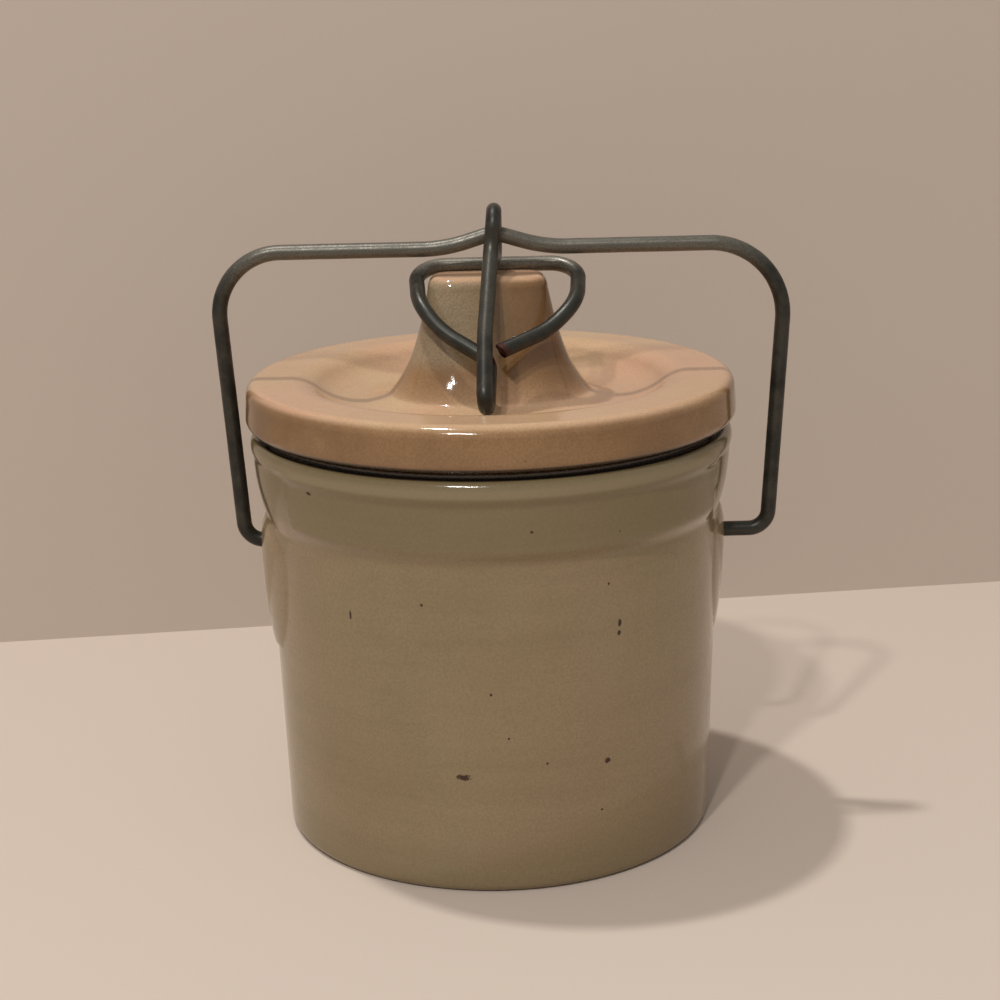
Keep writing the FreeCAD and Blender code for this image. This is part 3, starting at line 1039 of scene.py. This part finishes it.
@dataclass(frozen=True)
class PotGlaze:
    """Olive khaki glaze of the pot, warmer in the wall and greener at the collar."""

    olive: Colour = tone(141, 125, 92)
    khaki: Colour = tone(149, 131, 100)
    blush: Colour = tone(154, 129, 102)
    pale: Colour = tone(158, 143, 116)
    deep: Colour = tone(106, 90, 60)
    collar: Colour = tone(118, 104, 74)
    gap_shade: Colour = tone(30, 20, 13)
    iron: Colour = tone(58, 34, 18)
    clay: Colour = tone(168, 142, 112)
    roughness: float = 0.10
    blush_share: float = 0.6
    collar_share: float = 0.75
    foot_shade_share: float = 0.45
    pepper_share: float = 0.30
    pepper_relief: float = 0.004
    speck_depth: float = 0.12
    marks: tuple[GlazeMark, ...] = (
        GlazeMark(-8.7, 27.9, 1.45, 0.75, 0.75),
        GlazeMark(27.9, 29.0, 0.8, 0.65),
        GlazeMark(31.0, 60.9, 0.5, 0.9),
        GlazeMark(30.8, 58.6, 0.5, 0.6),
        GlazeMark(-37.1, 63.1, 0.3, 1.1),
        GlazeMark(-17.4, 67.7, 0.32, 0.32),
        GlazeMark(-1.5, 47.5, 0.3, 0.35),
        GlazeMark(11.9, 30.6, 0.3, 0.3),
        GlazeMark(26.3, 17.4, 0.3, 0.3),
        GlazeMark(2.5, 37.1, 0.28, 0.28),
        GlazeMark(27.8, 70.4, 0.3, 0.3),
        GlazeMark(8.4, 84.6, 0.35, 0.3),
        GlazeMark(-46.4, 89.8, 0.9, 0.4),
    )

    def make(self, effects: SharedEffects, pot: Pot) -> Material:
        """Build the material.

        Args:
            effects: Shared node groups.
            pot: Pot that the marks are placed on.

        Returns:
            The material.
        """
        material, g, shader = plain_material("pot_glaze")
        mottle = g.group(effects.mottle, blotch_size=34.0, pepper_size=0.55, speck_spacing=7.0)
        broad = g.group(effects.mottle, blotch_size=60.0, pepper_size=1.6, speck_spacing=16.0)
        bands = g.group(effects.bands, band_height=5.0, waver=3.0)
        height = g.parts()[2]
        pepper = mottle.outputs["Pepper"]
        colour = g.blend(mottle.outputs["Blotch"], self.khaki, self.olive)
        colour = g.tint(colour, broad.outputs["Blotch"], self.blush_share, self.blush)
        step_top = pot.rim_height - pot.collar_step[1]
        collar = g.ramp(height, step_top - 3.0, step_top + 1.0)
        colour = g.tint(colour, collar, self.collar_share, self.collar)
        # Painted shade: the wall is darkened towards the foot, over its lowest 17 mm.
        colour = g.tint(colour, g.ramp(height, 17.0, 1.0), self.foot_shade_share, self.collar)
        colour = g.tint(colour, g.ramp(bands.outputs["Bands"], 0.45, 0.72), 0.13, self.deep)
        colour = g.tint(colour, g.ramp(bands.outputs["Bands"], 0.5, 0.25), 0.10, self.pale)
        colour = g.tint(colour, pepper, self.pepper_share, self.deep)
        # Painted highlight: a paler band along the bead's outer face and top.
        bead_low = pot.rim_height - pot.bead_step[0]
        bead_highlight = g.less(
            g.ramp(height, bead_low + 2.2, bead_low + 3.2),
            g.ramp(height, bead_low + 4.2, bead_low + 5.6),
        )
        colour = g.tint(colour, bead_highlight, 0.35, self.pale)
        specks = mottle.outputs["Specks"]
        for mark in self.marks:
            specks = g.maths("MAXIMUM", specks, self._mark(g, effects, pot, mark))
        colour = g.blend(specks, colour, self.iron)
        bare = g.ramp(height, 0.25, 0.05)
        colour = g.blend(bare, colour, self.clay)
        # Painted shade: the top of the rim, in the gap under the lid, is painted near black.
        painted_gap_shade = g.ramp(height, pot.rim_height - 0.45, pot.rim_height - 0.15)
        colour = g.blend(painted_gap_shade, colour, self.gap_shade)
        g.link(colour, shader.inputs["Base Color"])
        rough = g.maths("MULTIPLY_ADD", pepper, 0.05, self.roughness)
        rough = g.plus(rough, g.times(specks, 0.35))
        rough = g.plus(rough, g.times(bare, 0.6))
        g.link(rough, shader.inputs["Roughness"])
        relief = g.times(g.clouds(g.place(), 0.28, 2.0), 0.05)
        relief = g.plus(relief, g.times(pepper, self.pepper_relief))
        add_bump(g, shader, g.less(relief, g.times(specks, self.speck_depth)))
        return material

    def _mark(self, g: Graph, effects: SharedEffects, pot: Pot, mark: GlazeMark) -> NodeSocket:
        """Mask of one spot on the wall."""
        angle = math.radians(mark.turn_deg - 90.0)
        reach = pot.radius_at(angle, mark.height)
        centre = (reach * math.cos(angle), reach * math.sin(angle), mark.height)
        squeeze = (1 / mark.width, 1 / mark.width, 1 / mark.tall)
        made = g.group(effects.mark, centre=centre, squeeze=squeeze, ragged=mark.ragged)
        return made.outputs["Mask"]


@dataclass(frozen=True)
class LidGlaze:
    """Pinkish tan glaze of the lid, browner on its steep faces, partly where the glaze runs thin
    on the edge and partly as painted shade.
    """

    tan: Colour = tone(196, 160, 125)
    peach: Colour = tone(203, 158, 130)
    sand: Colour = tone(199, 168, 132)
    brown: Colour = tone(149, 114, 78)
    deep: Colour = tone(110, 80, 47)
    khaki: Colour = tone(156, 143, 116)
    rosy: Colour = tone(186, 146, 124)
    gap_shade: Colour = tone(26, 17, 11)
    iron: Colour = tone(96, 66, 42)
    roughness: float = 0.06
    peach_share: float = 0.7
    edge_share: float = 0.92
    khaki_share: float = 0.8
    knob_right_shade_share: float = 0.55
    low_rim_rosy_share: float = 0.7
    pepper_relief: float = 0.004

    def make(self, effects: SharedEffects, lid: Lid) -> Material:
        """Build the material.

        Args:
            effects: Shared node groups.
            lid: Lid whose heights place the browner zones.

        Returns:
            The material.
        """
        material, g, shader = plain_material("lid_glaze")
        mottle = g.group(effects.mottle, blotch_size=18.0, pepper_size=0.5, speck_spacing=8.0)
        broad = g.group(effects.mottle, blotch_size=40.0, pepper_size=1.2, speck_spacing=15.0)
        across, _, height = g.parts()
        facing = g.node("ShaderNodeSeparateXYZ")
        g.link(g.node("ShaderNodeNewGeometry").outputs["Normal"], facing.inputs[0])
        upward = facing.outputs[2]
        pepper = mottle.outputs["Pepper"]
        # Steep faces go browner: partly thinner glaze, partly painted shade where they turn away
        # from the light above.
        steep = g.ramp(upward, 0.95, 0.45)
        colour = g.blend(mottle.outputs["Blotch"], self.tan, self.sand)
        colour = g.tint(colour, broad.outputs["Blotch"], self.peach_share, self.peach)
        edge = g.blend(broad.outputs["Blotch"], self.brown, self.deep)
        knob = g.ramp(height, lid.trough_floor + 7.0, lid.top_height + 6.0)
        left = g.times(knob, g.ramp(across, 9.0, -8.0))
        edge = g.tint(edge, left, self.khaki_share, self.khaki)
        # Painted shadow: the knob's right half goes deeper brown, partly browner glaze and partly
        # the shadow of the clamp's strand and the bail's bar.
        right = g.times(knob, g.ramp(across, 1.0, 9.0))
        edge = g.tint(edge, right, self.knob_right_shade_share, self.deep)
        colour = g.tint(colour, steep, self.edge_share, edge)
        lip = lid.rim_height + lid.lip_gap
        # A rosier speckle along the lid's lowest rounding, just above the lip.
        tint_zone = g.times(g.ramp(height, lip + 1.5, lip + 0.4), pepper)
        colour = g.tint(colour, tint_zone, self.low_rim_rosy_share, self.rosy)
        # Painted shade: the lid's downward faces near the lip and its lowest band are painted near
        # black, as the shaded gap on the rim.
        under = g.times(g.ramp(upward, -0.3, -0.6), g.ramp(height, lip + 1.6, lip + 1.0))
        under = g.maths("MAXIMUM", under, g.ramp(height, lip + 0.25, lip - 0.05))
        colour = g.blend(under, colour, self.gap_shade)
        grain = g.maths("MULTIPLY_ADD", steep, 0.22, 0.20)
        colour = g.blend(g.times(pepper, grain), colour, self.deep)
        colour = g.tint(colour, mottle.outputs["Specks"], 0.7, self.iron)
        g.link(colour, shader.inputs["Base Color"])
        rough = g.maths("MULTIPLY_ADD", pepper, 0.05, self.roughness)
        g.link(rough, shader.inputs["Roughness"])
        relief = g.times(g.clouds(g.place(), 0.3, 2.0), 0.06)
        add_bump(g, shader, g.plus(relief, g.times(pepper, self.pepper_relief)))
        return material


@dataclass(frozen=True)
class LitStretch:
    """Stretch of wire painted brighter, as painted light where it faces the lamps: its middle and
    half sizes in mm.
    """

    middle: tuple[float, float, float]
    reach: tuple[float, float, float]
    share: float


@dataclass(frozen=True)
class OldWire:
    """Dark, greenish grey oxidised steel wire."""

    dark: Colour = tone(38, 36, 30)
    grey: Colour = tone(66, 62, 54)
    green: Colour = tone(50, 51, 43)
    bright: Colour = tone(172, 165, 150)
    rust: Colour = tone(66, 30, 20)
    metallic: float = 0.4

    def make(
        self, name: str, effects: SharedEffects, lit_stretches: list[LitStretch], rust_at: Vector | None
    ) -> Material:
        """Build the material.

        Args:
            name: Name of the material.
            effects: Shared node groups.
            lit_stretches: Stretches painted brighter, as painted light where the wire faces the
                lamps.
            rust_at: Place of a rusty cut end, if there is one.

        Returns:
            The material.
        """
        material, g, shader = plain_material(name)
        oxide = g.group(effects.oxide, patch_size=5.5, grain_size=0.35)
        broad = g.group(effects.oxide, patch_size=22.0, grain_size=1.4)
        colour = g.blend(oxide.outputs["Patches"], self.dark, self.grey)
        colour = g.blend(g.times(broad.outputs["Patches"], 0.5), colour, self.green)
        grain = g.ramp(oxide.outputs["Grain"], 0.42, 0.62)
        colour = g.blend(g.times(grain, 0.35), colour, self.dark)
        rough = g.maths("MULTIPLY_ADD", oxide.outputs["Patches"], -0.10, 0.42)
        # Painted light: each stretch is painted brighter where the wire faces the lamps, streaked
        # by the grain.
        for lit_stretch in lit_stretches:
            squeeze = tuple(1.0 / half for half in lit_stretch.reach)
            tint_zone = g.group(effects.mark, centre=lit_stretch.middle, squeeze=squeeze, ragged=0.1)
            share = g.times(tint_zone.outputs["Mask"], lit_stretch.share)
            streak = g.maths("MULTIPLY_ADD", grain, -0.5, 1.15)
            share = g.times(share, streak)
            colour = g.blend(share, colour, self.bright)
            rough = g.less(rough, g.times(share, 0.1))
        if rust_at is not None:
            bloom = g.group(
                effects.mark, centre=tuple(rust_at), squeeze=(0.33, 0.33, 0.33), ragged=0.3
            )
            colour = g.blend(bloom.outputs["Mask"], colour, self.rust)
            rough = g.plus(rough, g.times(bloom.outputs["Mask"], 0.35))
        g.link(colour, shader.inputs["Base Color"])
        g.link(rough, shader.inputs["Roughness"])
        shader.inputs["Metallic"].default_value = self.metallic
        add_bump(g, shader, g.times(oxide.outputs["Grain"], 0.03))
        return material


def plain_material(name: str) -> tuple[Material, Graph, Node]:
    """New material with its shader node."""
    material = bpy.data.materials.new(name)
    material.use_nodes = True
    shader = material.node_tree.nodes["Principled BSDF"]
    return material, Graph(material.node_tree), shader


def add_bump(g: Graph, shader: Node, height_mm: NodeSocket) -> None:
    """Feed a relief in millimetres to the shader's normal."""
    bump = g.node("ShaderNodeBump")
    bump.inputs["Distance"].default_value = MM
    bump.inputs["Strength"].default_value = 1.0
    g.link(height_mm, bump.inputs["Height"])
    g.link(bump.outputs["Normal"], shader.inputs["Normal"])


# ---- studio


@dataclass(frozen=True)
class Lamp:
    """Square lamp aimed at the crock, in metres and watts."""

    name: str
    place: tuple[float, float, float]
    size: float
    power: float
    colour: tuple[float, float, float] = (1.0, 0.98, 0.955)


@dataclass(frozen=True)
class Studio:
    """Plain pale floor and backdrop, soft lamps and the camera."""

    floor_colour: Colour = tone(204, 189, 176)
    wall_colour: Colour = tone(202, 188, 175)
    wall_behind: float = 0.147
    wall_turn_deg: float = 6.7
    wall_height: float = 0.32
    wall_reach: float = 1.2
    floor_reach: float = 4.0
    aim_height: float = 0.07
    roughness: float = 0.9
    sheen: float = 0.15
    sensor: float = 36.0
    near: float = 0.01
    lens: float = 73.24
    distance: float = 0.46575
    eye_height: float = 0.20413
    pan_deg: float = 0.213
    tilt_deg: float = 15.275
    roll_deg: float = -1.298
    lamps: tuple[Lamp, ...] = (
        Lamp("lamp_above", (-0.28, 0.10, 1.42), 0.06, 8.2),
        Lamp("lamp_front", (-0.33, -0.86, 1.20), 0.06, 5.5),
        Lamp("lamp_front_near", (-0.20, -0.98, 1.16), 0.05, 3.5),
    )
    sky: float = 0.38

    def build(self) -> None:
        """Make the floor, backdrop, lamps, world and camera."""
        self._floor()
        self._world()
        for lamp in self.lamps:
            self._lamp(lamp)
        self._camera()
        bpy.context.scene.view_settings.view_transform = "Standard"

    def _sheet(
        self, name: str, corners: list[tuple[float, float, float]], colour: Colour
    ) -> Material:
        """Flat sheet of one colour.

        Args:
            name: Name of the sheet.
            corners: Its four corners, in metres.
            colour: Its colour.

        Returns:
            Its material.
        """
        mesh = bpy.data.meshes.new(name)
        mesh.from_pydata(corners, [], [(0, 1, 2, 3)])
        obj = bpy.data.objects.new(name, mesh)
        bpy.context.collection.objects.link(obj)
        material, _, shader = plain_material(name + "_cloth")
        shader.inputs["Base Color"].default_value = colour
        shader.inputs["Roughness"].default_value = self.roughness
        shader.inputs["Specular IOR Level"].default_value = self.sheen
        mesh.materials.append(material)
        return material

    def _open_from_behind(self, wall: Material) -> None:
        """Let the backdrop be seen through from behind and let the lamps' light past it."""
        g = Graph(wall.node_tree)
        shader = wall.node_tree.nodes["Principled BSDF"]
        geometry, path = g.node("ShaderNodeNewGeometry"), g.node("ShaderNodeLightPath")
        clear, mixed = g.node("ShaderNodeBsdfTransparent"), g.node("ShaderNodeMixShader")
        share = g.maths("MAXIMUM", geometry.outputs["Backfacing"], path.outputs["Is Shadow Ray"])
        g.link(share, mixed.inputs[0])
        g.link(shader.outputs[0], mixed.inputs[1])
        g.link(clear.outputs[0], mixed.inputs[2])
        g.link(mixed.outputs[0], wall.node_tree.nodes["Material Output"].inputs["Surface"])

    def _floor(self) -> None:
        """Floor and upright backdrop."""
        wide, half = self.floor_reach, self.wall_reach
        self._sheet(
            "floor",
            [(-wide, -wide, 0), (wide, -wide, 0), (wide, wide, 0), (-wide, wide, 0)],
            self.floor_colour,
        )
        lean = math.tan(math.radians(self.wall_turn_deg)) * half
        left, right, top = self.wall_behind - lean, self.wall_behind + lean, self.wall_height
        wall = self._sheet(
            "backdrop",
            [(-half, left, 0), (half, right, 0), (half, right, top), (-half, left, top)],
            self.wall_colour,
        )
        self._open_from_behind(wall)

    def _world(self) -> None:
        """Even light from all round."""
        world = bpy.data.worlds.new("room")
        bpy.context.scene.world = world
        world.use_nodes = True
        back = world.node_tree.nodes["Background"]
        back.inputs["Color"].default_value = (1.0, 0.98, 0.955, 1.0)
        back.inputs["Strength"].default_value = self.sky

    def _lamp(self, lamp: Lamp) -> None:
        """One square lamp aimed at the middle of the crock."""
        light = bpy.data.lights.new(lamp.name, "AREA")
        light.shape = "SQUARE"
        light.size = lamp.size
        light.energy = lamp.power
        light.color = lamp.colour
        obj = bpy.data.objects.new(lamp.name, light)
        obj.location = lamp.place
        aim = Vector((0, 0, self.aim_height)) - Vector(lamp.place)
        obj.rotation_euler = aim.to_track_quat("-Z", "Y").to_euler()
        bpy.context.collection.objects.link(obj)

    def _camera(self) -> None:
        """Camera in front of the crock, looking slightly down."""
        data = bpy.data.cameras.new("camera")
        data.lens = self.lens
        data.sensor_width = self.sensor
        data.clip_start = self.near
        pan, tilt, roll = (math.radians(a) for a in (self.pan_deg, self.tilt_deg, self.roll_deg))
        ahead = Vector(
            (math.sin(pan) * math.cos(tilt), math.cos(pan) * math.cos(tilt), -math.sin(tilt))
        )
        level = Vector((math.cos(pan), -math.sin(pan), 0))
        above = level.cross(ahead)
        right = level * math.cos(roll) + above * math.sin(roll)
        up = above * math.cos(roll) - level * math.sin(roll)
        turn = Matrix((right, up, -ahead)).transposed().to_4x4()
        obj = bpy.data.objects.new("camera", data)
        obj.matrix_world = Matrix.Translation((0, -self.distance, self.eye_height)) @ turn
        bpy.context.collection.objects.link(obj)
        bpy.context.scene.camera = obj


def joint_place(name: str) -> Vector:
    """Place of a joint of the frame, in millimetres."""
    joint = next(j for j in frame["record"]["behaviour"]["joints"] if j["name"] == name)
    return Vector(joint["pos_m"]) / MM


def main() -> None:
    """Build and dress each sub-assembly in order, then the studio."""
    logging.basicConfig(level=logging.INFO, format="%(name)s %(message)s")
    crock_low, crock_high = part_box("crock")
    lid_low, lid_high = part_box("lid")
    pivot = joint_place("bail_swing")
    crook = joint_place("clamp_swing")
    wire = Wire(radius=1.8)
    effects = SharedEffects.make()

    pot = Pot(
        rim_height=crock_high[2] / MM,
        bead_radius=(crock_high[0] - crock_low[0]) / 2 / MM,
        pivot_height=pivot.z,
        wire_radius=wire.radius,
    )
    glaze = PotGlaze().make(effects, pot)
    finish_piece(pot.build(), glaze, Body.POT, "crock")

    lid = Lid(
        rim_height=pot.rim_height,
        radius=(lid_high[0] - lid_low[0]) / 2 / MM,
        top_height=pot.rim_height + 11.8,
        knob_top=lid_high[2] / MM,
    )
    glaze = LidGlaze().make(effects, lid)
    finish_piece(lid.build(), glaze, Body.POT, "lid")

    bail = Bail(
        wire=wire,
        pivot_height=pivot.z,
        ear_face=pot.ear_face,
        lid_radius=lid.radius,
        bar_height=lid.knob_top + 6.0,
        crook_centre=crook.x,
    )
    # Painted light: the bail's bar is painted brighter, as lit from above.
    bar = LitStretch((0.0, 0.0, bail.bar_height), (72.0, 14.0, 13.0), 0.24)
    metal = OldWire().make("bail_metal", effects, [bar], None)
    finish_piece(bail.build(), metal, Body.HANDLE, "bail")

    clamp = Clamp(wire, crook, lid)
    tip = Vector((clamp.end_offset, -19.4, lid.knob_top - 15.0))
    # Painted light: the front strand and the loop's back are painted brighter where they face the
    # lamps.
    strand = LitStretch((0.2, -16.0, lid.knob_top + 1.0), (4.0, 13.0, 15.0), 0.06)
    loop = LitStretch((2.0, 8.0, lid.knob_top + 2.0), (26.0, 9.0, 7.0), 0.42)
    metal = OldWire().make("clamp_metal", effects, [strand, loop], tip)
    finish_piece(clamp.build(), metal, Body.TOGGLE, "clamp")

    Studio().build()


if __name__ == "__main__":
    main()
